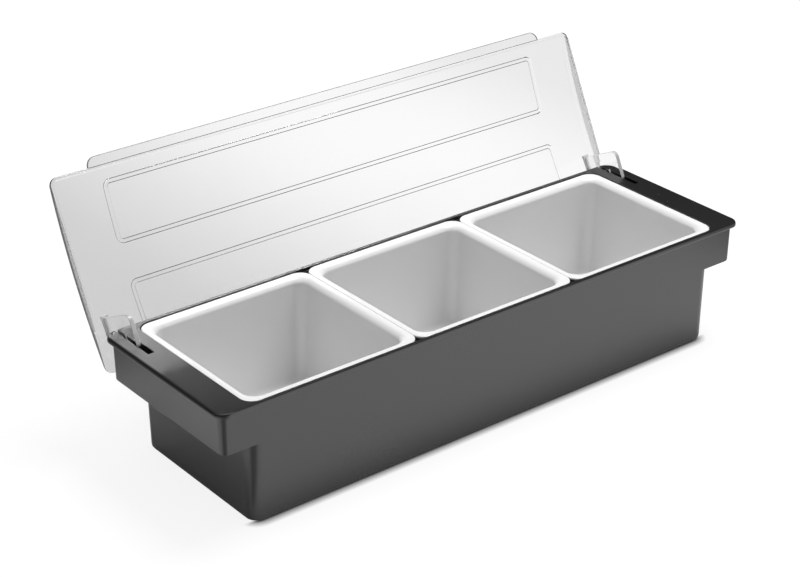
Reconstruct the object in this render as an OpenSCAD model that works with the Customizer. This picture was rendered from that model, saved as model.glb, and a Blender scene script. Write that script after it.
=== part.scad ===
// Countertop condiment caddy: a charcoal base, lift-out food trays and a clear lid on two hinge arms.
// X runs along the caddy, Y from front to back, Z up, and the origin is under the middle of the base.

/* [Base] */
// Overall length of the rim flange
flange_l = 490; // [470:1:520]
// Overall width of the rim flange
flange_w = 148; // [144:0.5:152]
// Thickness of the rim flange
flange_t = 4; // [3.6:0.1:5]
// Plan radius of the flange corners
flange_r = 12; // [9:0.5:14]
// Height from the foot to the deck
deck_z = 97.5; // [96:0.5:104]
// Length of the bin at its foot
bin_l = 436; // [434:0.5:437]
// Width of the bin at its foot
bin_w = 136; // [134:0.5:137]
// Plan radius of the bin corners at the foot
bin_r = 9; // [7:0.5:11]
// Rounding between the bin walls and its floor
foot_round = 5; // [2:0.5:6]
// Outward lean of the walls, in millimetres for each millimetre of height
wall_lean = 0.0177; // [0.01:0.0005:0.02]
// Thickness of the base walls and floor
base_wall = 2.4; // [2:0.1:2.6]
// Length over the two end shoulders at their lower edge
shoulder_l = 482; // [480:0.2:483]
// Height of the shoulders below the deck
shoulder_h = 34.3; // [33:0.1:40]
// Plan radius of the shoulder corners
shoulder_r = 5; // [3:0.5:8]

/* [Trays] */
// Number of trays side by side
tray_count = 3; // [3]
// Length of the row of trays
tray_row_l = 439.3; // [438:0.1:440]
// Width of a tray rim from front to back
tray_w = 140.4; // [139:0.1:141]
// Gap between neighbouring rims
tray_gap = 0.5; // [0.4:0.1:1]
// Gap between a rim and the recess it lies in
rim_play = 0.6; // [0.4:0.1:0.9]
// Thickness of a tray rim
rim_t = 1.9; // [1.5:0.1:2.2]
// Flat width of a tray rim before it rounds into the tub
rim_flat = 5; // [4.6:0.1:5.4]
// Radius where the rim rolls into the tub
rim_roll = 3; // [2.6:0.2:3.2]
// Plan radius of the rim corners
rim_r = 10; // [8:0.5:12]
// Depth of a tray below its rim
tray_depth = 88; // [60:1:88]
// Wall of a tray
tray_wall = 2; // [1.6:0.1:2.1]
// Rounding between the tray walls and the tray floor
tray_round = 8; // [5:0.5:8.5]
// How far the tray sides draw in towards the floor
tray_draw = 2.4; // [1.5:0.1:3]

/* [Lid] */
// Length of the lid
lid_l = 487.4; // [480:0.2:488]
// Depth of the lid from its rear edge to its front edge
lid_w = 144; // [143:0.2:145]
// Thickness of the lid panel
lid_t = 2; // [1.6:0.1:2.2]
// Thickness of the lid side walls
skirt_t = 2.2; // [1.6:0.1:2.6]
// Height of the front and rear lips
lip_h = 3; // [2.6:0.1:4]
// Rise of the arched panel over its lips
arch_rise = 5.5; // [4:0.1:7]
// Plan radius of the lid corners
lid_r = 6; // [4:0.5:9]
// Angle from the closed lid to the open lid of the rest pose
open_angle = 116.2; // [110:0.1:116.2]
// Length of the finger tab along the front edge
tab_l = 427; // [380:1:440]
// How far the finger tab stands out
tab_out = 7.2; // [5:0.1:8]
// Thickness of the finger tab
tab_t = 2; // [1.6:0.1:2.4]
// Length of the two raised frames
frame_l = 408; // [380:1:420]
// Width of one raised frame across the lid
frame_w = 48; // [42:0.5:49]
// Width of the raised bead of a frame
bead_w = 3.6; // [2.5:0.1:4]
// Height of the raised bead
bead_h = 1; // [0.5:0.1:1.2]

/* [Hinge] */
// Distance of each hinge arm from the middle of the caddy
arm_x = 232.5; // [231:0.1:233]
// Thickness of a hinge arm
arm_t = 3.4; // [3:0.1:3.6]
// Width of the slot that an arm drops through
slot_w = 4.6; // [4.4:0.1:5]
// Front end of the slots
slot_y = 29.3; // [26:0.1:32]
// Radius of a hinge pin
pin_r = 1.5; // [1.2:0.05:1.6]
// Radial play of a hinge pin in its bores
pin_play = 0.05; // [0.03:0.01:0.08]

/* [Hidden] */
$fn = 72;

// Base sections
flange_z = deck_z - flange_t;
shoulder_z = deck_z - shoulder_h;
deck_round = 1.6;
floor_flat = 1;
rim_seat = 0.3;
recess_depth = 2.8;
recess_z = deck_z - recess_depth;
recess_l = tray_row_l + 2 * rim_play;
recess_w = tray_w + 2 * rim_play;
pocket_x0 = bin_l / 2 + wall_lean * flange_z;
pocket_x1 = shoulder_l / 2 - base_wall;
pocket_y = bin_w / 2 + wall_lean * shoulder_z - base_wall;

// Tray sections
tray_l = (tray_row_l - (tray_count - 1) * tray_gap) / tray_count;
tray_pitch = tray_l + tray_gap;
rim_z = recess_z + rim_seat;
rim_top = rim_z + rim_t;
tub_top_in = rim_flat + rim_roll;
tub_r = rim_r - 1;
rim_edge = 0.6;
floor_z = rim_top - tray_depth;

// Lid sections, in the closed position
lid_gap = 0.35;
lid_z = deck_z + lid_gap;
lid_rear_y = 78.6;
lid_mid_y = lid_rear_y - lid_w / 2;
lid_front_y = lid_rear_y - lid_w;
arch_r = (pow(lid_w / 2, 2) + pow(arch_rise, 2)) / (2 * arch_rise);
arch_z = lid_z + lip_h + arch_rise - arch_r;
skirt_relief = 1.5;
relief_l = 32;
frame_inset = 10.8;
frame_r = 6;

// Hinge sections, in the closed position
pivot_y = 64.4;
pivot_z = 85.2;
eye_r = 3.4;
bridge_y0 = lid_rear_y - 39.1;
bridge_y1 = lid_rear_y - 25.1;
leg_z0 = lid_z - 35;
leg_z1 = lid_z - 21.5;
leg_y1 = 63.5;
web_y0 = 60.2;
arm_r = 5;
toe_r = 2;
foot_w = 6;
foot_t = 1.2;
foot_over = 1.5;
sill_y = 64.2;
sill_z = 95.6;
sill_h = 5.1;
sill_t = 3.6;
window_z = 80.7;
rib_t = 2.4;
rib_y = 50;
rib_z = 77;
pin_in = 227.3;
pin_out = 238.4;
bore_out = 238.7;
pin_edge = 0.4;

over = 0.01;
big = 600;

// Rounded plate with upright sides, its underside at z = 0
module plate(l, w, h, r) {
  linear_extrude(h) plan(l, w, r);
}

module plan(l, w, r) {
  square([l - 2 * r, w], center = true);
  square([l, w - 2 * r], center = true);
  for (x = [-1, 1], y = [-1, 1])
    translate([x * (l / 2 - r), y * (w / 2 - r)]) circle(r);
}

// Sweeps a half profile round a rounded rectangle; the profile starts over the centre of a corner
module around(l, w, r, h) {
  translate([0, 0, h / 2]) cube([l - 2 * r + 1, w - 2 * r + 1, h], center = true);
  for (side = [0, 1]) {
    mirror([side, 0, 0])
      translate([l / 2 - r, 0, 0])
        rotate([90, 0, 0]) linear_extrude(w - 2 * r, center = true) children();
    mirror([0, side, 0])
      translate([0, w / 2 - r, 0])
        rotate([90, 0, 90]) linear_extrude(l - 2 * r, center = true) children();
  }
  for (x = [-1, 1], y = [-1, 1])
    translate([x * (l / 2 - r), y * (w / 2 - r), 0]) rotate_extrude() children();
}

// Points along an arc from angle a0 to angle a1
function arc(x, y, r, a0, a1, n = 4) =
  [for (i = [0:n]) [x + r * cos(a0 + (a1 - a0) * i / n), y + r * sin(a0 + (a1 - a0) * i / n)]];

// Lower edge and leaning side of a wall
function wall_line(r, h, edge, grow) =
  concat(edge > 0 ? arc(r - edge, edge, edge, -90, 0) : [[r, 0]], [[r + grow, h]]);

// Leaning wall that rises from a rounded lower edge
module wall_profile(r, h, edge, grow) {
  polygon(concat([[0, 0]], wall_line(r, h, edge, grow), [[0, h]]));
}

// Upright edge with a rounded upper corner
module plate_profile(r, h, edge) {
  polygon(concat([[0, 0], [r, 0]], arc(r - edge, h - edge, edge, 0, 90), [[0, h]]));
}

// Hollow of a tray: a rounded floor edge, leaning walls, and a mouth that rolls out to the rim
module hollow_profile(r, h, edge, grow, roll) {
  mouth = r + grow + roll;
  polygon(concat([[0, 0]], wall_line(r, h - roll, edge, grow), arc(mouth, h - roll, roll, 170, 90),
                 [[mouth, h + 1], [0, h + 1]]));
}

// Moves a piece from the closed lid to the open rest pose
module opened() {
  translate([0, pivot_y, pivot_z])
    rotate([-open_angle, 0, 0])
      translate([0, -pivot_y, -pivot_z]) children();
}

// Cylinder along X, from x0 to x1
module rod(x0, x1, y, z, r) {
  translate([x0, y, z]) rotate([0, 90, 0]) cylinder(h = x1 - x0, r = r);
}

module both_ends() {
  for (side = [0, 1]) mirror([side, 0, 0]) children();
}

module base_outer() {
  shoulder_t = shoulder_h - flange_t;
  around(bin_l, bin_w, bin_r, flange_z) wall_profile(bin_r, flange_z, foot_round, wall_lean * flange_z);
  translate([0, 0, shoulder_z])
    around(shoulder_l, bin_w + 2 * wall_lean * shoulder_z, shoulder_r, shoulder_t)
      wall_profile(shoulder_r, shoulder_t, 0, wall_lean * shoulder_t);
  translate([0, 0, flange_z])
    around(flange_l, flange_w, flange_r, flange_t) plate_profile(flange_r, flange_t, deck_round);
}

module base_hollows() {
  // Bin, open at the top
  translate([0, 0, base_wall])
    around(bin_l - 2 * base_wall, bin_w - 2 * base_wall, bin_r - base_wall, deck_z)
      wall_profile(bin_r - base_wall, deck_z, bin_r - base_wall - floor_flat, wall_lean * deck_z);
  translate([0, 0, recess_z]) plate(recess_l, recess_w, big, rim_r + rim_play);
  both_ends() {
    // Pocket under the shoulder, open below
    difference() {
      translate([pocket_x0, -pocket_y, shoulder_z - big])
        cube([pocket_x1 - pocket_x0, 2 * pocket_y, flange_z - shoulder_z + big]);
      pocket_ribs();
    }
    arm_slot();
    rod(pin_in - 1, bore_out, pivot_y, pivot_z, pin_r + pin_play);
  }
}

// The two ribs that carry a hinge pin, one on each side of the slot
module pocket_ribs() {
  inner_x = arm_x - slot_w / 2 - rib_t;
  translate([inner_x, rib_y, rib_z]) cube([rib_t, big, big]);
  translate([arm_x + slot_w / 2, rib_y, rib_z]) cube([big, big, big]);
}

// Deck slot and rear window that an arm swings through, with a stop sill left between them
module arm_slot() {
  slot_x = arm_x - slot_w / 2;
  difference() {
    translate([slot_x, slot_y, flange_z - over]) cube([slot_w, big, big]);
    translate([0, sill_y, 0]) cube([big, sill_t, sill_z]);
  }
  translate([slot_x, slot_y, sill_z]) cube([slot_w, big, big]);
  translate([slot_x, rib_y + base_wall, window_z])
    cube([slot_w, big, sill_z - sill_h - window_z]);
}

module base_housing() {
  color("#3b3c3d")
    difference() {
      base_outer();
      base_hollows();
    }
}

module tray() {
  tub_in = tub_top_in - tray_wall + tray_draw;
  tub_h = rim_z - floor_z + over;
  hollow_h = tray_depth - tray_wall;
  tub_l = tray_l - 2 * tub_in;
  tub_w = tray_w - 2 * tub_in;
  hollow_r = tub_r - tray_wall;
  color("#f2f2f0")
    difference() {
      union() {
        translate([0, 0, floor_z]) around(tub_l, tub_w, tub_r, tub_h)
          wall_profile(tub_r, tub_h, tray_round, tray_draw);
        translate([0, 0, rim_z]) around(tray_l, tray_w, rim_r, rim_t) plate_profile(rim_r, rim_t, rim_edge);
      }
      translate([0, 0, floor_z + tray_wall])
        around(tub_l - 2 * tray_wall, tub_w - 2 * tray_wall, hollow_r, hollow_h + 1)
          hollow_profile(hollow_r, hollow_h, tray_round - tray_wall, tray_draw, rim_roll);
    }
}

module tray_at(n) {
  translate([(n - (tray_count - 1) / 2) * tray_pitch, 0, 0]) tray();
}

module arch(r) {
  rod(-big, big, lid_mid_y, arch_z, r, $fn = 360);
}

module lid_plan(inset, z0) {
  translate([0, lid_mid_y, z0])
    plate(lid_l - 2 * inset, lid_w - 2 * inset, big, lid_r - inset);
}

// Raised bead frame that follows the arch
module bead_frame(y) {
  intersection() {
    translate([0, y, 0])
      difference() {
        plate(frame_l, frame_w, big, frame_r);
        translate([0, 0, -1]) plate(frame_l - 2 * bead_w, frame_w - 2 * bead_w, big + 2, frame_r - bead_w);
      }
    difference() {
      arch(arch_r + bead_h);
      arch(arch_r - lid_t / 2);
    }
  }
}

// Tab along the front edge; the hollow of the lid cuts its inner half away
module finger_tab() {
  translate([0, lid_front_y, lid_z]) plate(tab_l, 2 * tab_out, tab_t, tab_out - over);
}

module lid_closed() {
  difference() {
    union() {
      intersection() {
        lid_plan(0, lid_z);
        arch(arch_r);
      }
      bead_frame(lid_front_y + frame_inset + frame_w / 2);
      bead_frame(lid_rear_y - frame_inset - frame_w / 2);
      finger_tab();
    }
    intersection() {
      lid_plan(skirt_t, lid_z - 1);
      arch(arch_r - lid_t);
    }
    // Relief that lets the rear of the end walls pass the rim of the base
    translate([-big, lid_rear_y - relief_l, lid_z - 1]) cube([2 * big, relief_l, 1 + skirt_relief]);
  }
}

module lid_panel() {
  color("#dfe6ea", 0.35) opened() lid_closed();
}

// Outline of an arm in the YZ plane, with the lid closed
module arm_outline() {
  difference() {
    union() {
      translate([bridge_y0 + arm_r, leg_z0]) square([bridge_y1 - bridge_y0 - arm_r, big]);
      translate([bridge_y0, leg_z0 + arm_r]) square([arm_r + 1, big]);
      translate([bridge_y0 + arm_r, leg_z0 + arm_r]) circle(arm_r);
      translate([bridge_y1 - 1, leg_z0]) square([leg_y1 - bridge_y1 + 1 - toe_r, leg_z1 - leg_z0]);
      translate([bridge_y1 - 1, leg_z0 + toe_r])
        square([leg_y1 - bridge_y1 + 1, leg_z1 - leg_z0 - toe_r]);
      translate([leg_y1 - toe_r, leg_z0 + toe_r]) circle(toe_r);
      translate([web_y0, leg_z1 - 1]) square([leg_y1 - web_y0, pivot_z - leg_z1 - 1]);
      translate([pivot_y, pivot_z]) circle(eye_r);
    }
    translate([pivot_y, pivot_z]) circle(pin_r + pin_play);
  }
}

module arm_closed() {
  intersection() {
    union() {
      translate([arm_x - arm_t / 2, 0, 0])
        rotate([90, 0, 90]) linear_extrude(arm_t) arm_outline();
      difference() {
        translate([arm_x - foot_w / 2, bridge_y0 - foot_over, lid_z])
          cube([foot_w, bridge_y1 - bridge_y0 + 2 * foot_over, big]);
        arch(arch_r - lid_t - foot_t);
      }
    }
    arch(arch_r - lid_t);
  }
}

module left_hinge_arm() {
  color("#d5dde2", 0.5) opened() mirror([1, 0, 0]) arm_closed();
}

module right_hinge_arm() {
  color("#d5dde2", 0.5) opened() arm_closed();
}

module pin() {
  color("#b9bcbf") {
    rod(pin_in + pin_edge, pin_out - pin_edge, pivot_y, pivot_z, pin_r);
    translate([pin_in, pivot_y, pivot_z])
      rotate([0, 90, 0]) cylinder(h = pin_edge, r1 = pin_r - pin_edge, r2 = pin_r);
    translate([pin_out - pin_edge, pivot_y, pivot_z])
      rotate([0, 90, 0]) cylinder(h = pin_edge, r1 = pin_r, r2 = pin_r - pin_edge);
  }
}

module left_hinge_pin() {
  mirror([1, 0, 0]) pin();
}

module right_hinge_pin() {
  pin();
}

module left_tray() {
  tray_at(0);
}

module middle_tray() {
  tray_at(1);
}

module right_tray() {
  tray_at(2);
}

base_housing();
lid_panel();
left_hinge_arm();
right_hinge_arm();
left_hinge_pin();
right_hinge_pin();
left_tray();
middle_tray();
right_tray();
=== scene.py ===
import math
import bmesh
import bpy
from mathutils import Matrix, Vector


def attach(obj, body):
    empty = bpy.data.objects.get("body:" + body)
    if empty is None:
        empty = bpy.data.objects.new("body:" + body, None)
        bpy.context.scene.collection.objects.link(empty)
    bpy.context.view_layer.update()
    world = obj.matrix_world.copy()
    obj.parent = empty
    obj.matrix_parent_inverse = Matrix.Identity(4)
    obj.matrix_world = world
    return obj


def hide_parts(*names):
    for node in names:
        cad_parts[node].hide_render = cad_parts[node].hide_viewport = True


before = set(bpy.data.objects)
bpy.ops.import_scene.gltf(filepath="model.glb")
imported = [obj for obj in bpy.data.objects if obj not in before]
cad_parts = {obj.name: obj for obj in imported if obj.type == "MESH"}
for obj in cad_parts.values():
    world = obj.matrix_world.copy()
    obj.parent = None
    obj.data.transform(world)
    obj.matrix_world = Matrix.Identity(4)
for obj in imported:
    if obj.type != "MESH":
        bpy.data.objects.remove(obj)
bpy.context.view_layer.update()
mm = 0.001
print("frame loaded:", len(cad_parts), "nodes")


# Small helpers
def srgb(code):
    channels = [int(code[i:i + 2], 16) / 255 for i in (1, 3, 5)]
    return tuple(c / 12.92 if c <= 0.04045 else ((c + 0.055) / 1.055) ** 2.4 for c in channels) + (1.0,)


def addNode(tree, kind, values=None, links=None, **settings):
    node = tree.nodes.new(kind)
    for name, value in settings.items():
        setattr(node, name, value)
    for name, value in (values or {}).items():
        node.inputs[name].default_value = value
    for name, source in (links or {}).items():
        socket = source if isinstance(source, bpy.types.NodeSocket) else source.outputs[0]
        tree.links.new(socket, node.inputs[name])
    return node


def linked(name, data):
    thing = bpy.data.objects.new(name, data)
    bpy.context.collection.objects.link(thing)
    return thing


def newPiece(name, mesh, material, body, slotName, *nodes):
    piece = linked(name, mesh)
    mesh.materials.clear()
    mesh.materials.append(material)
    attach(piece, body)
    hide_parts(*nodes)


# The mesh of a helper object with its modifiers applied; the object goes
def evaluated(holder):
    bpy.context.view_layer.update()
    graph = bpy.context.evaluated_depsgraph_get()
    result = bpy.data.meshes.new_from_object(holder.evaluated_get(graph))
    bpy.data.objects.remove(holder)
    return result


def applied(mesh, kind, **settings):
    holder = linked("holder", mesh)
    modifier = holder.modifiers.new(kind, kind)
    for name, value in settings.items():
        setattr(modifier, name, value)
    return evaluated(holder)


def smoothed(mesh, sharpDegrees=32):
    for polygon in mesh.polygons:
        polygon.use_smooth = True
    mesh.set_sharp_from_angle(angle=math.radians(sharpDegrees))
    return applied(mesh, "WEIGHTED_NORMAL", keep_sharp=True, weight=100)


def bevelled(mesh, width, segments, fromDegrees=40, **settings):
    return applied(mesh, "BEVEL", width=width * mm, segments=segments, limit_method="ANGLE",
                   angle_limit=math.radians(fromDegrees), **settings)


def combined(mesh, otherMesh, operation):
    other = linked("other", otherMesh)
    result = applied(mesh, "BOOLEAN", operation=operation, object=other, solver="EXACT")
    bpy.data.objects.remove(other)
    return result


def reworked(mesh, change):
    work = bmesh.new()
    work.from_mesh(mesh)
    change(work)
    work.to_mesh(mesh)
    work.free()
    return mesh


def turnOutwards(work):
    bmesh.ops.recalc_face_normals(work, faces=work.faces)


# A mesh from points in mm
def meshFrom(name, points, faces, outwards=True):
    mesh = bpy.data.meshes.new(name)
    mesh.from_pydata([(x * mm, y * mm, z * mm) for x, y, z in points], [], faces)

    def weld(work):
        bmesh.ops.remove_doubles(work, verts=work.verts, dist=1e-7)
        if outwards:
            turnOutwards(work)
    return reworked(mesh, weld)


# A box, from its lowest to its highest corner; above flareFrom its sides lean out at 45 degrees
def boxMesh(low, high, flareFrom=None):
    levels = [(low[2], 0.0), (high[2], 0.0)]
    if flareFrom is not None:
        levels = [(low[2], 0.0), (flareFrom, 0.0), (high[2], high[2] - flareFrom)]
    points, faces = [], [(3, 2, 1, 0)]
    for z, grow in levels:
        points += [(low[0] - grow, low[1] - grow, z), (high[0] + grow, low[1] - grow, z),
                   (high[0] + grow, high[1] + grow, z), (low[0] - grow, high[1] + grow, z)]
    last = 4 * (len(levels) - 1)
    for k in range(0, last, 4):
        faces += [(k + i, k + (i + 1) % 4, k + 4 + (i + 1) % 4, k + 4 + i) for i in range(4)]
    faces.append(tuple(last + i for i in range(4)))
    return meshFrom("cutter", points, faces)


def rodMesh(x0, x1, y, z, radius, sides=32):
    turns = [2 * math.pi * n / sides for n in range(sides)]
    points = [(x, y + radius * math.cos(a), z + radius * math.sin(a)) for x in (x0, x1) for a in turns]
    faces = [(n, (n + 1) % sides, sides + (n + 1) % sides, sides + n) for n in range(sides)]
    faces += [tuple(reversed(range(sides))), tuple(range(sides, 2 * sides))]
    return meshFrom("rod", points, faces)


# Camera
# Fitted to the straight edges of the base, the tubs and the lid, and to the bin's rounded outline
camera = {"azimuth": -38.233, "elevation": 26.794, "roll": -0.128, "lens": 93.2527, "sensor": 36,
          "place": (-0.875856, -1.065192, 0.782239), "clipStart": 0.01}
azimuth, elevation, roll = (math.radians(camera[k]) for k in ("azimuth", "elevation", "roll"))
sideways = Vector((math.cos(azimuth), math.sin(azimuth), 0))
alongFloor = Vector((math.sin(azimuth), -math.cos(azimuth), 0))
towards = alongFloor * math.cos(elevation) + Vector((0, 0, math.sin(elevation)))
upwards = towards.cross(sideways)
rolledSide = sideways * math.cos(roll) + upwards * math.sin(roll)
rolledUp = -sideways * math.sin(roll) + upwards * math.cos(roll)
lens = bpy.data.cameras.new("studioCamera")
lens.lens = camera["lens"]
lens.sensor_width = camera["sensor"]
lens.sensor_fit = "HORIZONTAL"
lens.clip_start = camera["clipStart"]
eye = linked("studioCamera", lens)
eye.matrix_world = Matrix((rolledSide, rolledUp, towards)).transposed().to_4x4()
eye.location = camera["place"]
bpy.context.scene.camera = eye
print("camera placed")


# Finishes
def emptyMaterial(name):
    material = bpy.data.materials.new(name)
    material.use_nodes = True
    material.node_tree.nodes.clear()
    return material, material.node_tree


def newMaterial(name, values):
    material, tree = emptyMaterial(name)
    shader = addNode(tree, "ShaderNodeBsdfPrincipled", values)
    addNode(tree, "ShaderNodeOutputMaterial", links={"Surface": shader})
    return material, tree, shader


def mixTones(tree, shader, tones, factor):
    tone = addNode(tree, "ShaderNodeMix", {6: srgb(tones[0]), 7: srgb(tones[1])}, {"Factor": factor},
                   data_type="RGBA")
    tree.links.new(tone.outputs[2], shader.inputs["Base Color"])


def spreadRough(tree, shader, rough, source):
    sheen = addNode(tree, "ShaderNodeMapRange", {"To Min": rough[0], "To Max": rough[1]}, {"Value": source})
    tree.links.new(sheen.outputs[0], shader.inputs["Roughness"])


def noise(tree, place, sizeMm, detail):
    values = {"Scale": 1 / (sizeMm * mm), "Detail": detail}
    return addNode(tree, "ShaderNodeTexNoise", values, {"Vector": place})


# A moulded plastic: two close tones in soft clouds, which also vary the gloss where rough is a pair, and a fine
# relief where one is given
def moulded(name, ior, tones, rough, cloudMm, cloudDetail=2.0, clear=0.0, relief=None):
    values = {"IOR": ior, "Transmission Weight": clear}
    if isinstance(rough, float):
        values["Roughness"] = rough
    material, tree, shader = newMaterial(name, values)
    place = addNode(tree, "ShaderNodeTexCoord").outputs["Object"]
    cloud = noise(tree, place, cloudMm, cloudDetail)
    mixTones(tree, shader, tones, cloud)
    if isinstance(rough, tuple):
        spreadRough(tree, shader, rough, cloud)
    if relief:
        grain = noise(tree, place, relief["sizeMm"], relief["detail"])
        depth = {"Strength": relief["strength"], "Distance": relief["depthMm"] * mm}
        bump = addNode(tree, "ShaderNodeBump", depth, {"Height": grain})
        tree.links.new(bump.outputs[0], shader.inputs["Normal"])
    return material


# Satin ABS, moulded in a lightly spark-eroded tool: near black, and grey only where it mirrors the floor or
# the softbox
satin = {"ior": 1.8, "tones": ("#181919", "#1c1d1d"), "rough": (0.25, 0.31), "cloudMm": 90, "cloudDetail": 3.0,
         "relief": {"sizeMm": 0.9, "depthMm": 0.003, "detail": 2.0, "strength": 0.35}}
charcoalAbs = moulded("mouldedCharcoalAbs", **satin)

# Polished white ABS: an even, neutral white that shows soft highlights along its rims
polished = {"ior": 1.5, "tones": ("#e4e4e4", "#e0e0e0"), "rough": (0.2, 0.3), "cloudMm": 60, "cloudDetail": 3.0,
            "relief": {"sizeMm": 14, "depthMm": 0.02, "detail": 1.0, "strength": 0.3}}
whiteAbs = moulded("polishedWhiteAbs", **polished)

# Clear SAN, as moulded: colourless in the sheet, greyer where the eye looks along a wall
glassy = {"ior": 1.49, "tones": ("#fbfbfb", "#f7f7f7"), "rough": (0.005, 0.03), "cloudMm": 70, "clear": 1.0}
clearSan = moulded("mouldedClearSan", **glassy)

# The same SAN along its edges, a little rough, with tones that paint in how its edges catch light: painted soft
# grey shade lines on the rims, a darker painted shade line round the tab, and arms whose edges are painted pale
# in place of their highlights
roughEdge = {"ior": 1.49, "rough": 0.3, "cloudMm": 12}
edgeShadeLooks = {"rim": {"tones": ("#dadada", "#d0d0d0"), "clear": 0.75},
              "tab": {"tones": ("#8e8e8e", "#868686"), "clear": 0.15},
              "arm": {"tones": ("#e2e2e2", "#d8d8d8"), "clear": 0.4}}
edgeShadeFinishes = {part: moulded(part + "PaintedEdgeShadeSan", **roughEdge, **look) for part, look in edgeShadeLooks.items()}

# Ground stainless steel: fine rings round the pin
ground = {"tones": ("#c4c6c9", "#aeb1b5"), "rough": (0.25, 0.4),
          "ringScale": 0.1, "ringMm": 0.25, "distortion": 1.5}
groundSteel, tree, shader = newMaterial("groundSteel", {"Metallic": 1.0})
place = addNode(tree, "ShaderNodeTexCoord").outputs["Object"]
rings = addNode(tree, "ShaderNodeTexWave", {"Scale": ground["ringScale"] / (ground["ringMm"] * mm),
                                            "Distortion": ground["distortion"]}, {"Vector": place})
mixTones(tree, shader, ground["tones"], rings)
spreadRough(tree, shader, ground["rough"], rings.outputs[1])
print("finishes made")


# Ring loft
# Each vertex of the input is one level: x and y are the half sizes, z the height, cornerRadius an attribute.
# The tree lays a rounded rectangle at each level and skins them.
def ringLoftTree():
    group = bpy.data.node_groups.new("ringLoft", "GeometryNodeTree")
    for name, kind in (("Geometry", "Geometry"), ("Corner Segments", "Int"), ("Offset", "Vector"),
                       ("Material", "Material")):
        group.interface.new_socket(name, in_out="INPUT", socket_type="NodeSocket" + kind)
    group.interface.new_socket("Geometry", in_out="OUTPUT", socket_type="NodeSocketGeometry")
    given = addNode(group, "NodeGroupInput")
    levels, segments = given.outputs["Geometry"], given.outputs["Corner Segments"]

    def maths(operation, a, b=0.0):
        node = addNode(group, "ShaderNodeMath", operation=operation)
        for socket, value in ((node.inputs[0], a), (node.inputs[1], b)):
            if isinstance(value, (int, float)):
                socket.default_value = value
            else:
                group.links.new(value, socket)
        return node.outputs[0]

    count = addNode(group, "GeometryNodeAttributeDomainSize", links={"Geometry": levels}).outputs["Point Count"]
    perCorner = maths("ADD", segments, 1)
    around = maths("MULTIPLY", perCorner, 4)
    columns = maths("ADD", around, 1)
    grid = addNode(group, "GeometryNodeMeshGrid", links={"Vertices X": count, "Vertices Y": columns})
    index = addNode(group, "GeometryNodeInputIndex").outputs[0]
    level = maths("FLOOR", maths("DIVIDE", maths("ADD", index, 0.5), columns))
    column = maths("SUBTRACT", index, maths("MULTIPLY", level, columns))
    column = maths("MULTIPLY", column, maths("LESS_THAN", column, maths("SUBTRACT", around, 0.5)))
    corner = maths("FLOOR", maths("DIVIDE", maths("ADD", column, 0.5), perCorner))
    step = maths("SUBTRACT", column, maths("MULTIPLY", corner, perCorner))
    angle = maths("MULTIPLY", maths("ADD", corner, maths("DIVIDE", step, segments)), math.pi / 2)
    middle = maths("MULTIPLY", maths("ADD", corner, 0.5), math.pi / 2)

    def sampled(kind, value):
        node = addNode(group, "GeometryNodeSampleIndex", data_type=kind)
        for name, source in (("Geometry", levels), ("Index", level), ("Value", value.outputs[0])):
            group.links.new(source, node.inputs[name])
        return node.outputs[0]

    half = addNode(group, "ShaderNodeSeparateXYZ",
                   links={"Vector": sampled("FLOAT_VECTOR", addNode(group, "GeometryNodeInputPosition"))})
    r = sampled("FLOAT", addNode(group, "GeometryNodeInputNamedAttribute", {"Name": "cornerRadius"},
                                 data_type="FLOAT"))

    def across(trig, halfSize):
        straight = maths("MULTIPLY", maths("SIGN", maths(trig, middle)), maths("SUBTRACT", halfSize, r))
        return maths("ADD", straight, maths("MULTIPLY", r, maths(trig, angle)))

    x, y = across("COSINE", half.outputs[0]), across("SINE", half.outputs[1])
    target = addNode(group, "ShaderNodeCombineXYZ", links={"X": x, "Y": y, "Z": half.outputs[2]})
    moved = addNode(group, "GeometryNodeSetPosition", links={"Geometry": grid, "Position": target,
                                                             "Offset": given.outputs["Offset"]})
    closed = addNode(group, "GeometryNodeMergeByDistance", {"Distance": 1e-6}, {"Geometry": moved})
    dressed = addNode(group, "GeometryNodeSetMaterial",
                      links={"Geometry": closed, "Material": given.outputs["Material"]})
    addNode(group, "NodeGroupOutput", links={"Geometry": dressed})
    return group


ringLoft = ringLoftTree()


# Rounds the outline where a level asks for it.
# A level is (half length, half width, corner radius, height, rounding)
def roundedLevels(levels, steps=4, mostOfSide=0.65):
    result = []
    for i, level in enumerate(levels):
        point = Vector(level[:4])
        rounding = level[4] if len(level) > 4 else 0
        if not rounding:
            result.append(point)
            continue
        sides = []
        for near in (levels[i - 1], levels[i + 1]):
            away = Vector(near[:4]) - point
            reach = math.hypot(max(abs(away[0]), abs(away[1])), away[3])
            sides.append(point + away * min(mostOfSide, rounding / reach))
        for n in range(steps + 1):
            t = n / steps
            result.append(sides[0] * (1 - t) ** 2 + point * (2 * t * (1 - t)) + sides[1] * t ** 2)
    return result


def loft(name, levels, segments, offset, material):
    stations = roundedLevels(levels)
    mesh = bpy.data.meshes.new(name)
    mesh.from_pydata([(s[0] * mm, s[1] * mm, s[3] * mm) for s in stations], [], [])
    radius = mesh.attributes.new("cornerRadius", "FLOAT", "POINT")
    radius.data.foreach_set("value", [s[2] * mm for s in stations])
    holder = linked(name, mesh)
    modifier = holder.modifiers.new("ringLoft", "NODES")
    modifier.node_group = ringLoft
    values = {"Corner Segments": segments, "Offset": [c * mm for c in offset], "Material": material}
    for item in ringLoft.interface.items_tree:
        if item.in_out == "INPUT" and item.name in values:
            modifier[item.identifier] = values[item.name]
    return reworked(evaluated(holder), turnOutwards)


def grown(size, by):
    return tuple(v + by for v in size)


# The flat middle of a floor: its centre, and a ring that lies flatIn inside the foot
def flatFloor(foot, flatIn, flatR, height):
    return [(0, 0, 0, height), (foot[0] - flatIn, foot[1] - flatIn, flatR, height)]


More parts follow.
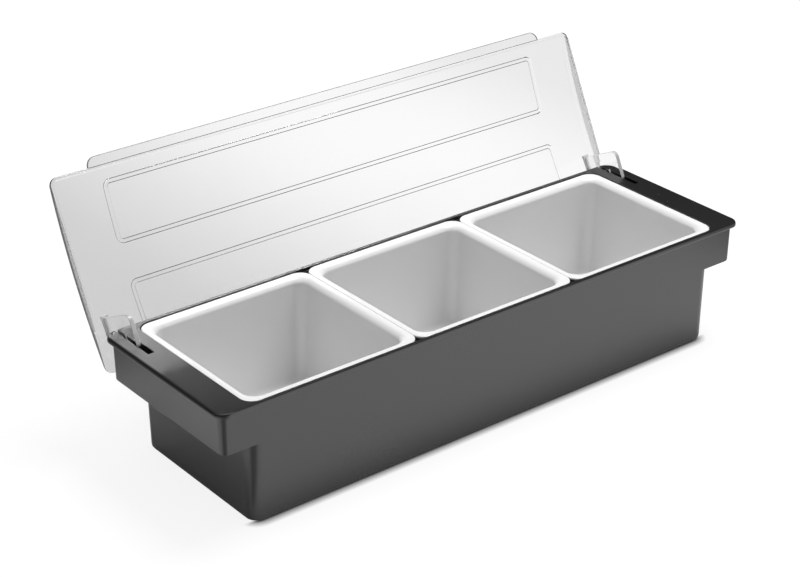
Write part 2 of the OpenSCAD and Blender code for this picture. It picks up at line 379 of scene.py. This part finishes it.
# Tubs
# Sizes are in mm, here and for the base, the lid and the arms. A Round is how far a rounding reaches along the
# two sides of its corner
tub = {"length": 146.45, "width": 140.4, "rimRadius": 10, "rimTop": 96.9, "rimThick": 1.9, "rimFlat": 5,
       "roll": 3, "depth": 88, "wall": 2, "draw": 2.4, "pitch": 146.6,
       "footSharper": 1, "footRound": 7.2, "floorRound": 6,
       "cove": 0.4, "coveRound": 0.3, "rimUnderRound": 0.5, "rimEdgeRound": 0.7, "mouthRound": 2.6,
       "rollDrop": 0.4, "rollRound": 1.2, "flatIn": 30, "flatR": 2, "segments": 12}


def tubLevels(t):
    top, under, low = t["rimTop"], t["rimTop"] - t["rimThick"], t["rimTop"] - t["depth"]
    shrink = t["rimFlat"] + t["roll"] - t["wall"] + t["draw"]
    rim = (t["length"] / 2, t["width"] / 2, t["rimRadius"])
    foot = (rim[0] - shrink, rim[1] - shrink, t["rimRadius"] - t["footSharper"])
    head, inner = grown(foot, t["draw"]), grown(foot, -t["wall"])
    innerHead = grown(inner, t["draw"])
    outside = flatFloor(foot, t["flatIn"], t["flatR"], low) + [
        foot + (low, t["footRound"]), head + (under - t["cove"], t["coveRound"]),
        grown(head, t["cove"]) + (under,),
        rim + (under, t["rimUnderRound"]), rim + (top, t["rimEdgeRound"])]
    inside = flatFloor(inner, t["flatIn"], t["flatR"], low + t["wall"]) + [
        inner + (low + t["wall"], t["floorRound"]),
        innerHead + (top - t["roll"] - t["rollDrop"], t["rollRound"]),
        grown(innerHead, t["roll"]) + (top, t["mouthRound"])]
    return outside + inside[::-1]


for side, name in ((-1, "left"), (0, "middle"), (1, "right")):
    shell = loft(name + "Tub", tubLevels(tub), tub["segments"], (side * tub["pitch"], 0, 0), whiteAbs)
    newPiece(name + "Tub", smoothed(shell), whiteAbs, name + "_tub", "white_plastic", name + "_tray")
print("tubs lofted")


# Base
base = {"binL": 436, "binW": 136, "binR": 9, "lean": 0.0177, "footRound": 3.5, "innerRound": 5.6, "wall": 2.4,
        "shoulderL": 482, "shoulderZ": 63.2, "shoulderR": 5, "shoulderOut": 0.05, "shoulderRound": 0.8,
        "flangeL": 490, "flangeW": 148, "flangeR": 9, "flangeZ": 93.5, "deckZ": 97.5,
        "neckRound": 0.5, "flangeUnderRound": 1.1, "flangeRound": 2.6,
        "recessL": 440.5, "recessW": 141.6, "recessR": 10.6, "recessZ": 94.7,
        "recessRound": 0.45, "ledgeRound": 0.3, "mouthRound": 0.4, "flatIn": 40, "flatR": 1, "segments": 12}
slotCut = {"x0": 230.2, "x1": 234.8, "frontY": 29.3, "rearY": 200,
           "sillTop": 95.6, "sillY0": 64.2, "sillY1": 67.8,
           "windowZ0": 80.7, "windowZ1": 90.5, "windowY": 52.4, "chamfer": 0.35, "over": 2}
pocketCut = {"x0": 219.655, "x1": 238.6, "y": 66.72, "ribY": 50, "ribZ": 77, "ribX0": 227.8,
             "below": -10, "lap": 0.1}
boreCut = {"radius": 1.55, "x0": 226.3, "x1": 238.7, "y": 64.4, "z": 85.2}


def baseLevels(b):
    def leanAt(z):
        return b["lean"] * b["flangeZ"] * (z - b["footRound"]) / (b["flangeZ"] - b["footRound"])
    foot = (b["binL"] / 2, b["binW"] / 2, b["binR"])
    inner = grown(foot, -b["wall"])
    shoulder = (b["shoulderL"] / 2, foot[1] + b["lean"] * b["shoulderZ"] + b["shoulderOut"], b["shoulderR"])
    neck = grown(shoulder, b["lean"] * (b["flangeZ"] - b["shoulderZ"]))
    flange = (b["flangeL"] / 2, b["flangeW"] / 2, b["flangeR"])
    recess = (b["recessL"] / 2, b["recessW"] / 2, b["recessR"])
    outside = flatFloor(foot, b["flatIn"], b["flatR"], 0) + [
        foot + (0, b["footRound"]),
        grown(foot, leanAt(b["shoulderZ"])) + (b["shoulderZ"], b["shoulderRound"]),
        shoulder + (b["shoulderZ"], b["shoulderRound"]), neck + (b["flangeZ"], b["neckRound"]),
        flange + (b["flangeZ"], b["flangeUnderRound"]), flange + (b["deckZ"], b["flangeRound"])]
    inside = flatFloor(inner, b["flatIn"], b["flatR"], b["wall"]) + [
        inner + (b["wall"], b["innerRound"]),
        grown(inner, leanAt(b["flangeZ"])) + (b["recessZ"], b["mouthRound"]),
        recess + (b["recessZ"], b["ledgeRound"]), recess + (b["deckZ"], b["recessRound"])]
    return outside + inside[::-1]


# The cuts at the right end: a pocket that leaves ribs beside the arm, the arm's slot with its sill and rear
# window, and the pin's bore. The cuts lap each other a little
def baseCuts(b, s, p, bore):
    ribY, ribZ = p["ribY"] - p["lap"], p["ribZ"] - p["lap"]
    sillZ0, sillZ1 = b["flangeZ"] - p["lap"], s["sillTop"] + p["lap"]
    return [
        boxMesh((p["x0"], -p["y"], p["below"]), (p["x1"], p["ribY"], b["flangeZ"])),
        boxMesh((p["x0"], ribY, p["below"]), (p["x1"], p["y"], p["ribZ"])),
        boxMesh((p["x0"], ribY, ribZ), (p["ribX0"], p["y"], b["flangeZ"])),
        boxMesh((s["x0"], ribY, ribZ), (s["x1"], p["y"], b["flangeZ"])),
        boxMesh((s["x0"], s["frontY"], s["sillTop"]), (s["x1"], s["rearY"], b["deckZ"] + s["over"]),
                b["deckZ"] - s["chamfer"]),
        boxMesh((s["x0"], s["frontY"], sillZ0), (s["x1"], s["sillY0"], sillZ1)),
        boxMesh((s["x0"], s["sillY1"], sillZ0), (s["x1"], s["rearY"], sillZ1)),
        boxMesh((s["x0"], s["windowY"], s["windowZ0"]), (s["x1"], s["rearY"], s["windowZ1"])),
        rodMesh(bore["x0"], bore["x1"], bore["y"], bore["z"], bore["radius"]),
    ]


shell = loft("baseShell", baseLevels(base), base["segments"], (0, 0, 0), charcoalAbs)
for cutter in baseCuts(base, slotCut, pocketCut, boreCut):
    shell = combined(shell, cutter, "DIFFERENCE")
    flipped = cutter.copy()
    flipped.transform(Matrix.Scale(-1, 4, (1, 0, 0)))
    flipped.flip_normals()
    shell = combined(shell, flipped, "DIFFERENCE")
newPiece("baseHousing", smoothed(shell), charcoalAbs, "base", "charcoal_plastic", "base_housing")
print("base cut:", len(shell.polygons), "faces")


# Lid, made closed and then turned open about its hinge axis
lid = {"halfL": 244.9, "halfW": 72, "midY": 6.6, "z": 97.85, "lip": 3, "rise": 5.5, "thick": 2, "skirt": 2.2,
       "r": 6, "edge": 0.9, "foot": 0.5, "inner": 0.6, "leastSkirt": 0.15,
       "footShare": 0.8, "insideShare": 0.4, "filletShare": 0.5,
       "relief": 1.5, "reliefY": 46.6, "reliefRun": 0.8,
       "frameL": 408, "frameW": 48, "frameInset": 10.8, "frameR": 6,
       "beadW": 3.6, "beadH": 1, "beadSide": 0.6,
       "tabL": 427, "tabOut": 7.19, "tabT": 2, "tabIn": 1.2, "tabUp": 0.02, "tabEdge": 0.9,
       "tabEdgeSteps": 5, "tabCornerSteps": 8, "sharp": 38, "pivotY": 64.4, "pivotZ": 85.2, "open": 116.2}
# How close the lines of the lid's mesh lie: fine across a bead and its corners, and wider everywhere else
lines = {"fine": 0.28, "past": 0.3, "zone": 7.6, "strip": 12, "stripGap": 1, "end": 6, "endGap": 4,
         "cross": 5, "crossGap": 3, "border": 3, "middle": 4, "middleHalf": 6, "least": 0.12, "corner": 6}
# Where an edge gets its painted edge shade: how far a face may tilt towards flat, and how far in front of the
# lid the tab's own edge starts
edges = {"rimTilt": 0.8, "tabTilt": 0.96, "armTilt": 0.9, "tabFrom": 0.3}
archRadius = (lid["halfW"] ** 2 + lid["rise"] ** 2) / (2 * lid["rise"])
archZ = lid["z"] + lid["lip"] + lid["rise"] - archRadius
pivot = Vector((0, lid["pivotY"] * mm, lid["pivotZ"] * mm))
openTurn = (Matrix.Translation(pivot) @ Matrix.Rotation(-math.radians(lid["open"]), 4, "X")
            @ Matrix.Translation(-pivot))


def archAt(y, radius):
    return archZ + math.sqrt(radius ** 2 - (y - lid["midY"]) ** 2)


def footAt(y):
    return lid["z"] + lid["relief"] * min(1, max(0, (y - lid["reliefY"]) / lid["reliefRun"]))


# The lid's underside, which leaves the skirt at least a little height
def ceilingAt(y):
    return max(archAt(y, archRadius - lid["thick"]), footAt(y) + lid["leastSkirt"])


# Height of the raised frames, by the distance from the middle line of their bead
def beadAt(x, y):
    best = 0
    for sign in (-1, 1):
        centre = lid["midY"] + sign * (lid["halfW"] - lid["frameInset"] - lid["frameW"] / 2)
        r = lid["frameR"] - lid["beadW"] / 2
        dx = abs(x) - (lid["frameL"] / 2 - lid["beadW"] / 2 - r)
        dy = abs(y - centre) - (lid["frameW"] / 2 - lid["beadW"] / 2 - r)
        away = abs(math.hypot(max(dx, 0), max(dy, 0)) + min(max(dx, dy), 0) - r)
        t = min(1, max(0, (lid["beadW"] / 2 - away) / lid["beadSide"]))
        best = max(best, lid["beadH"] * t * t * (3 - 2 * t))
    return best


def spread(start, end, step):
    count = max(1, round(abs(end - start) / step))
    return [start + (end - start) * i / count for i in range(count + 1)]


# Sorts the lines, and leaves out those that lie too close to the one before or past the straight part of a side
def tidied(values, centre, reach):
    result = []
    for v in sorted(values):
        if not result or v - result[-1] > lines["least"]:
            result.append(v)
    return [v for v in result if abs(v - centre) <= reach + 1e-6]


straightX, straightY = lid["halfL"] - lid["r"], lid["halfW"] - lid["r"]
halfFrame, zone, fine = lid["frameL"] / 2, lines["zone"], lines["fine"]
xLines = spread(-halfFrame + zone + lines["stripGap"], halfFrame - zone - lines["stripGap"], lines["strip"])
for sign in (-1, 1):
    outer = halfFrame + lines["past"]
    xLines += [sign * v for v in spread(outer, outer - zone, fine)]
    xLines += [sign * v for v in spread(halfFrame + lines["endGap"], straightX, lines["end"])]
yLines = [lid["reliefY"], lid["reliefY"] + lid["reliefRun"]]
yLines += spread(lid["midY"] - lines["middleHalf"], lid["midY"] + lines["middleHalf"], lines["middle"])
for sign in (-1, 1):
    outer = lid["midY"] + sign * (lid["halfW"] - lid["frameInset"] + lines["past"])
    near = lid["midY"] + sign * (lid["halfW"] - lid["frameInset"] - lid["frameW"] - lines["past"])
    yLines += spread(outer, outer - sign * zone, fine) + spread(near, near + sign * zone, fine)
    gap = sign * (zone + lines["crossGap"])
    yLines += spread(outer - gap, near + gap, lines["cross"])
    yLines += spread(lid["midY"] + sign * straightY, outer + sign * lines["border"], lines["border"])
xLines, yLines = tidied(xLines, 0, straightX), tidied(yLines, lid["midY"], straightY)


# One sheet of the lid: straight lines in the middle, and lines that bend round the four corners
def lidSheet(inset, heightAt):
    reach = lid["r"] - inset
    slants = [math.tan(math.radians(45 * k / lines["corner"])) * reach for k in range(1, lines["corner"] + 1)]
    before, after = [(-1, s) for s in reversed(slants)], [(1, s) for s in slants]
    columns = before + [(0, v) for v in xLines] + after
    rows = before + [(0, v) for v in yLines] + after
    points = []
    for columnSide, across in columns:
        for rowSide, along in rows:
            cx, cy = columnSide * straightX, lid["midY"] + rowSide * straightY
            if not columnSide:
                x, y = across, (cy + rowSide * along if rowSide else along)
            elif not rowSide:
                x, y = cx + columnSide * across, along
            else:
                length = max(across, along)
                norm = math.hypot(across, along)
                x, y = cx + columnSide * length * across / norm, cy + rowSide * length * along / norm
            points.append((x, y, heightAt(x, y)))
    return points, len(columns), len(rows)


def lidBody():
    outer, nx, ny = lidSheet(lid["edge"], lambda x, y: archAt(y, archRadius) + beadAt(x, y))
    inner, nx, ny = lidSheet(lid["skirt"] + lid["inner"], lambda x, y: ceilingAt(y))
    border = [i * ny for i in range(nx)] + [(nx - 1) * ny + j for j in range(1, ny)]
    border += [i * ny + ny - 1 for i in range(nx - 2, -1, -1)] + [j for j in range(ny - 2, 0, -1)]
    faces = [(i * ny + j, (i + 1) * ny + j, (i + 1) * ny + j + 1, i * ny + j + 1)
             for i in range(nx - 1) for j in range(ny - 1)]
    faces += [tuple(len(outer) + v for v in reversed(face)) for face in list(faces)]
    points = outer + inner

    # A ring of points at an inset from the lid's outline; their height follows from the heights of the
    # upper face, the skirt's foot and the underside there
    def ringAt(inset, heightOf):
        start = len(points)
        for index in border:
            x, y, z = outer[index]
            cx = max(-straightX, min(straightX, x))
            cy = lid["midY"] + max(-straightY, min(straightY, y - lid["midY"]))
            awayX, awayY = x - cx, y - cy
            norm = math.hypot(awayX, awayY)
            px, py = cx + awayX / norm * (lid["r"] - inset), cy + awayY / norm * (lid["r"] - inset)
            inY = cy + awayY / norm * (lid["r"] - lid["skirt"] - lid["inner"])
            points.append((px, py, heightOf(archAt(y, archRadius), footAt(py), ceilingAt(inY))))
        return list(range(start, len(points)))

    # From the upper edge down the skirt, round its foot and up to the fillet inside. Where the skirt is low,
    # a rounding takes only a share of the room that is left
    e, g, f, s = lid["edge"], lid["foot"], lid["inner"], lid["skirt"]
    loops = [list(border)]
    for t in map(math.radians, (22.5, 45, 67.5, 90)):
        loops.append(ringAt(e * (1 - math.sin(t)), lambda top, low, roof: top - e * (1 - math.cos(t))))
    for t in map(math.radians, (0, 30, 60, 90)):
        loops.append(ringAt(g * (1 - math.cos(t)), lambda top, low, roof:
                            low + min(g, (top - e - low) * lid["footShare"]) * (1 - math.sin(t))))
    for t in map(math.radians, (0, 30, 60, 90)):
        loops.append(ringAt(s - g + g * math.sin(t), lambda top, low, roof:
                            low + min(g, (roof - low) * lid["insideShare"]) * (1 - math.cos(t))))
    for t in map(math.radians, (0, 30, 60)):
        loops.append(ringAt(s + f * (1 - math.cos(t)), lambda top, low, roof:
                            roof - min(f, (roof - low) * lid["filletShare"]) * (1 - math.sin(t))))
    loops.append([len(outer) + v for v in border])
    for a, b in zip(loops, loops[1:]):
        for k in range(len(border)):
            m = (k + 1) % len(border)
            faces.append((a[k], b[k], b[m], a[m]))
    return meshFrom("lidBody", points, faces)


def tabBody():
    front, halfL = lid["midY"] - lid["halfW"], lid["tabL"] / 2
    r, steps = lid["tabOut"], lid["tabCornerSteps"]
    outline = [(-halfL, front + lid["tabIn"])]
    for sign, start in ((-1, 180), (1, 270)):
        for k in range(steps + 1):
            a = math.radians(start + 90 * k / steps)
            outline.append((sign * (halfL - r) + r * math.cos(a), front + r * math.sin(a)))
    outline.append((halfL, front + lid["tabIn"]))
    count = len(outline)
    points = [(x, y, z) for z in (lid["z"] + lid["tabUp"], lid["z"] + lid["tabT"]) for x, y in outline]
    faces = [tuple(reversed(range(count))), tuple(range(count, 2 * count))]
    faces += [(k, (k + 1) % count, count + (k + 1) % count, count + k) for k in range(count)]
    return bevelled(meshFrom("tabBody", points, faces), lid["tabEdge"], lid["tabEdgeSteps"])


# Gives the faces that isEdge picks out the rough edge finish, whose tone is painted shade or painted highlight
def paintEdgeShade(mesh, finish, isEdge):
    mesh.materials.append(finish)
    for polygon in mesh.polygons:
        if isEdge(polygon.center / mm, polygon.normal):
            polygon.material_index = len(mesh.materials) - 1


def isLidRim(centre, normal):
    beyond = max(abs(centre.x) - lid["halfL"], abs(centre.y - lid["midY"]) - lid["halfW"])
    return beyond > -lid["edge"] and abs(normal.z) < edges["rimTilt"]


def isTabEdge(centre, normal):
    return centre.y < lid["midY"] - lid["halfW"] - edges["tabFrom"] and abs(normal.z) < edges["tabTilt"]


def isArmEdge(centre, normal):
    return abs(normal.x) < edges["armTilt"]


lidMesh = smoothed(combined(lidBody(), tabBody(), "UNION"), lid["sharp"])
newPiece("lidPanel", lidMesh, clearSan, "lid", "clear_plastic", "lid_panel")
# The lid's rim and the tab's edge get painted grey shade lines
paintEdgeShade(lidMesh, edgeShadeFinishes["rim"], isLidRim)
paintEdgeShade(lidMesh, edgeShadeFinishes["tab"], isTabEdge)
lidMesh.transform(openTurn)
print("lid made:", len(lidMesh.polygons), "faces")


# Hinge arms, from the frame's own with softened edges, and pins
arm = {"edge": 0.35, "steps": 3, "flatDegrees": 1}


def mergeFlats(work):
    bmesh.ops.remove_doubles(work, verts=work.verts, dist=1e-6)
    bmesh.ops.dissolve_limit(work, angle_limit=math.radians(arm["flatDegrees"]),
                             verts=work.verts, edges=work.edges)


for side in ("left", "right"):
    mesh = reworked(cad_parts[side + "_hinge_arm"].data.copy(), mergeFlats)
    mesh = smoothed(bevelled(mesh, arm["edge"], arm["steps"], use_clamp_overlap=False))
    newPiece(side + "HingeArm", mesh, clearSan, "lid", "clear_plastic", side + "_hinge_arm")
    # The arm's edges get a pale painted tone in place of their highlights
    paintEdgeShade(mesh, edgeShadeFinishes["arm"], isArmEdge)
    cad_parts[side + "_hinge_pin"].material_slots[0].material = groundSteel
print("arms and pins dressed")


# Studio
# One large softbox above and beyond the right end, dark walls, and a pale floor that the camera and the clear
# lid see as nearly white. Places and distances are in metres here, apart from floorHalfMm
studio = {"floorTone": "#f0f0f0", "floorHalfMm": 8000, "floorDrop": 0.0002, "washTone": "#6e6e6e", "wash": 0.86,
          "fadeX": (-0.1, 0.5),
          "fade": ((0.0, 0.5), (0.12, 0.53), (0.34, 0.78), (0.54, 0.87), (0.78, 0.86), (1.0, 0.69)),
          "corner": (-0.235, -0.07), "cameraSide": (-0.53, -0.85), "cameraFrom": (0.7, 0.97),
          "cameraLevel": 0.35, "rightFrom": (0.3, 0.42), "rightLevel": 0.4,
          "behindFrom": (0.14, 0.21), "behindLevel": 0.35,
          "contactReach": 0.007, "contactPower": 2.0, "contactFrom": (-0.0655, -0.0615),
          "wall": 0.035, "ceiling": 0.5, "ceilingFrom": 0.6, "fill": 0.36,
          "horizon": 0.9, "through": 0.4, "whiteUpTo": 0.2, "darkFrom": 0.5,
          "keyPlace": (0.46, 0.03, 1.5), "keyTarget": (0, 0, 0.05), "keySize": (0.7, 0.75), "keyPower": 20.5}
bpy.context.scene.view_settings.view_transform = "Standard"


def ramp(tree, value, span, low, high, blend="SMOOTHSTEP"):
    values = {"From Min": span[0], "From Max": span[1], "To Min": low, "To Max": high}
    return addNode(tree, "ShaderNodeMapRange", values, {"Value": value}, interpolation_type=blend).outputs[0]


def joined(tree, operation, a, b, **settings):
    return addNode(tree, "ShaderNodeMath", links={0: a, 1: b}, operation=operation, **settings).outputs[0]


def scaled(tree, operation, value, by):
    return addNode(tree, "ShaderNodeMath", {1: by}, {0: value}, operation=operation).outputs[0]


def choice(tree, factor, otherwise, where):
    return addNode(tree, "ShaderNodeMix", {2: otherwise}, {"Factor": factor, 3: where}).outputs[0]


def vectorMaths(tree, operation, values, a):
    return addNode(tree, "ShaderNodeVectorMath", values, {0: a}, operation=operation)


# What the base mirrors of the floor: painted shade, darker towards the camera, far right and behind, in place
# of the shade a real studio floor has
def mirroredFloor(tree, ray, place, axes):
    fromCorner = vectorMaths(tree, "SUBTRACT", {1: studio["corner"] + (0,)}, place)
    heading = vectorMaths(tree, "NORMALIZE", None, fromCorner)
    facing = vectorMaths(tree, "DOT_PRODUCT", {1: studio["cameraSide"] + (0,)}, heading).outputs["Value"]
    near = ramp(tree, facing, studio["cameraFrom"], 1.0, studio["cameraLevel"])
    right = ramp(tree, axes.outputs["X"], studio["rightFrom"], 1.0, studio["rightLevel"])
    behind = ramp(tree, axes.outputs["Y"], studio["behindFrom"], 1.0, studio["behindLevel"])
    mirrored = joined(tree, "MULTIPLY", joined(tree, "MULTIPLY", near, right), behind)
    paintedFloorShade = choice(tree, ray.outputs["Is Glossy Ray"], 1.0, mirrored)
    tint = addNode(tree, "ShaderNodeVectorMath", {0: srgb(studio["floorTone"])[:3]}, {"Scale": paintedFloorShade},
                   operation="SCALE")
    return addNode(tree, "ShaderNodeBsdfDiffuse", links={"Color": tint})


# What the camera and the clear lid see: nearly white, with painted shade that makes it greyer through the lid's
# left half, and a tight shadow, taken from occlusion and painted in only where the front of the base stands
def seenFloor(tree, ray, axes):
    contact = addNode(tree, "ShaderNodeAmbientOcclusion", {"Distance": studio["contactReach"]}).outputs["AO"]
    tight = scaled(tree, "POWER", contact, studio["contactPower"])
    shaded = choice(tree, ramp(tree, axes.outputs["Y"], studio["contactFrom"], 1.0, 0.0), 1.0, tight)
    # Painted shade: through the lid the floor glows less towards the left
    along = ramp(tree, axes.outputs["X"], studio["fadeX"], 0.0, 1.0, "LINEAR")
    fade = addNode(tree, "ShaderNodeValToRGB", links={"Fac": along})
    fade.color_ramp.interpolation = "B_SPLINE"
    for i, (position, value) in enumerate(studio["fade"]):
        stop = fade.color_ramp.elements[i] if i < 2 else fade.color_ramp.elements.new(position)
        stop.position, stop.color = position, (value, value, value, 1)
    strength = choice(tree, ray.outputs["Is Transmission Ray"], studio["wash"], fade)
    glow = addNode(tree, "ShaderNodeEmission", {"Color": (1, 1, 1, 1)},
                   {"Strength": joined(tree, "MULTIPLY", strength, shaded)})
    washed = addNode(tree, "ShaderNodeBsdfDiffuse", {"Color": srgb(studio["washTone"])})
    return addNode(tree, "ShaderNodeAddShader", links={0: glow, 1: washed})


def seenDirectly(tree, ray):
    return joined(tree, "ADD", ray.outputs["Is Camera Ray"], ray.outputs["Is Transmission Ray"], use_clamp=True)


paper, tree = emptyMaterial("whitePaper")
ray = addNode(tree, "ShaderNodeLightPath")
place = addNode(tree, "ShaderNodeTexCoord").outputs["Object"]
axes = addNode(tree, "ShaderNodeSeparateXYZ", links={"Vector": place})
mirrored, seen = mirroredFloor(tree, ray, place, axes), seenFloor(tree, ray, axes)
both = addNode(tree, "ShaderNodeMixShader", links={"Fac": seenDirectly(tree, ray), 1: mirrored, 2: seen})
addNode(tree, "ShaderNodeOutputMaterial", links={"Surface": both})
h = studio["floorHalfMm"]
square = [(-h, -h, 0), (h, -h, 0), (h, h, 0), (-h, h, 0)]
floor = linked("floor", meshFrom("floor", square, [(0, 1, 2, 3)], False))
floor.data.materials.append(paper)
floor.location.z = -studio["floorDrop"]

# The room: its walls and ceiling light the object, and the camera sees white in their place
world = bpy.data.worlds.new("studio")
bpy.context.scene.world = world
world.use_nodes = True
tree = world.node_tree
tree.nodes.clear()
ray = addNode(tree, "ShaderNodeLightPath")
sky = addNode(tree, "ShaderNodeTexCoord").outputs["Generated"]
height = addNode(tree, "ShaderNodeSeparateXYZ", links={"Vector": sky}).outputs["Z"]
room = ramp(tree, height, (studio["ceilingFrom"], 1.0), studio["wall"], studio["ceiling"])
soft = scaled(tree, "MULTIPLY", ray.outputs["Is Diffuse Ray"], studio["fill"])
lit = joined(tree, "ADD", room, soft)
low = ramp(tree, height, (studio["whiteUpTo"], studio["darkFrom"]), studio["horizon"], studio["through"])
plain = joined(tree, "MAXIMUM", low, ray.outputs["Is Camera Ray"])
light = addNode(tree, "ShaderNodeBackground", {"Color": (1, 1, 1, 1)}, {"Strength": lit})
backdrop = addNode(tree, "ShaderNodeBackground", {"Color": (1, 1, 1, 1)}, {"Strength": plain})
mixed = addNode(tree, "ShaderNodeMixShader", links={"Fac": seenDirectly(tree, ray), 1: light, 2: backdrop})
addNode(tree, "ShaderNodeOutputWorld", links={"Surface": mixed})

key = bpy.data.lights.new("keySoftbox", "AREA")
key.shape = "RECTANGLE"
key.size, key.size_y = studio["keySize"]
key.energy = studio["keyPower"]
lamp = linked("keySoftbox", key)
lamp.location = studio["keyPlace"]
aim = Vector(studio["keyTarget"]) - Vector(studio["keyPlace"])
lamp.rotation_euler = aim.to_track_quat("-Z", "Y").to_euler()
print("studio lit")
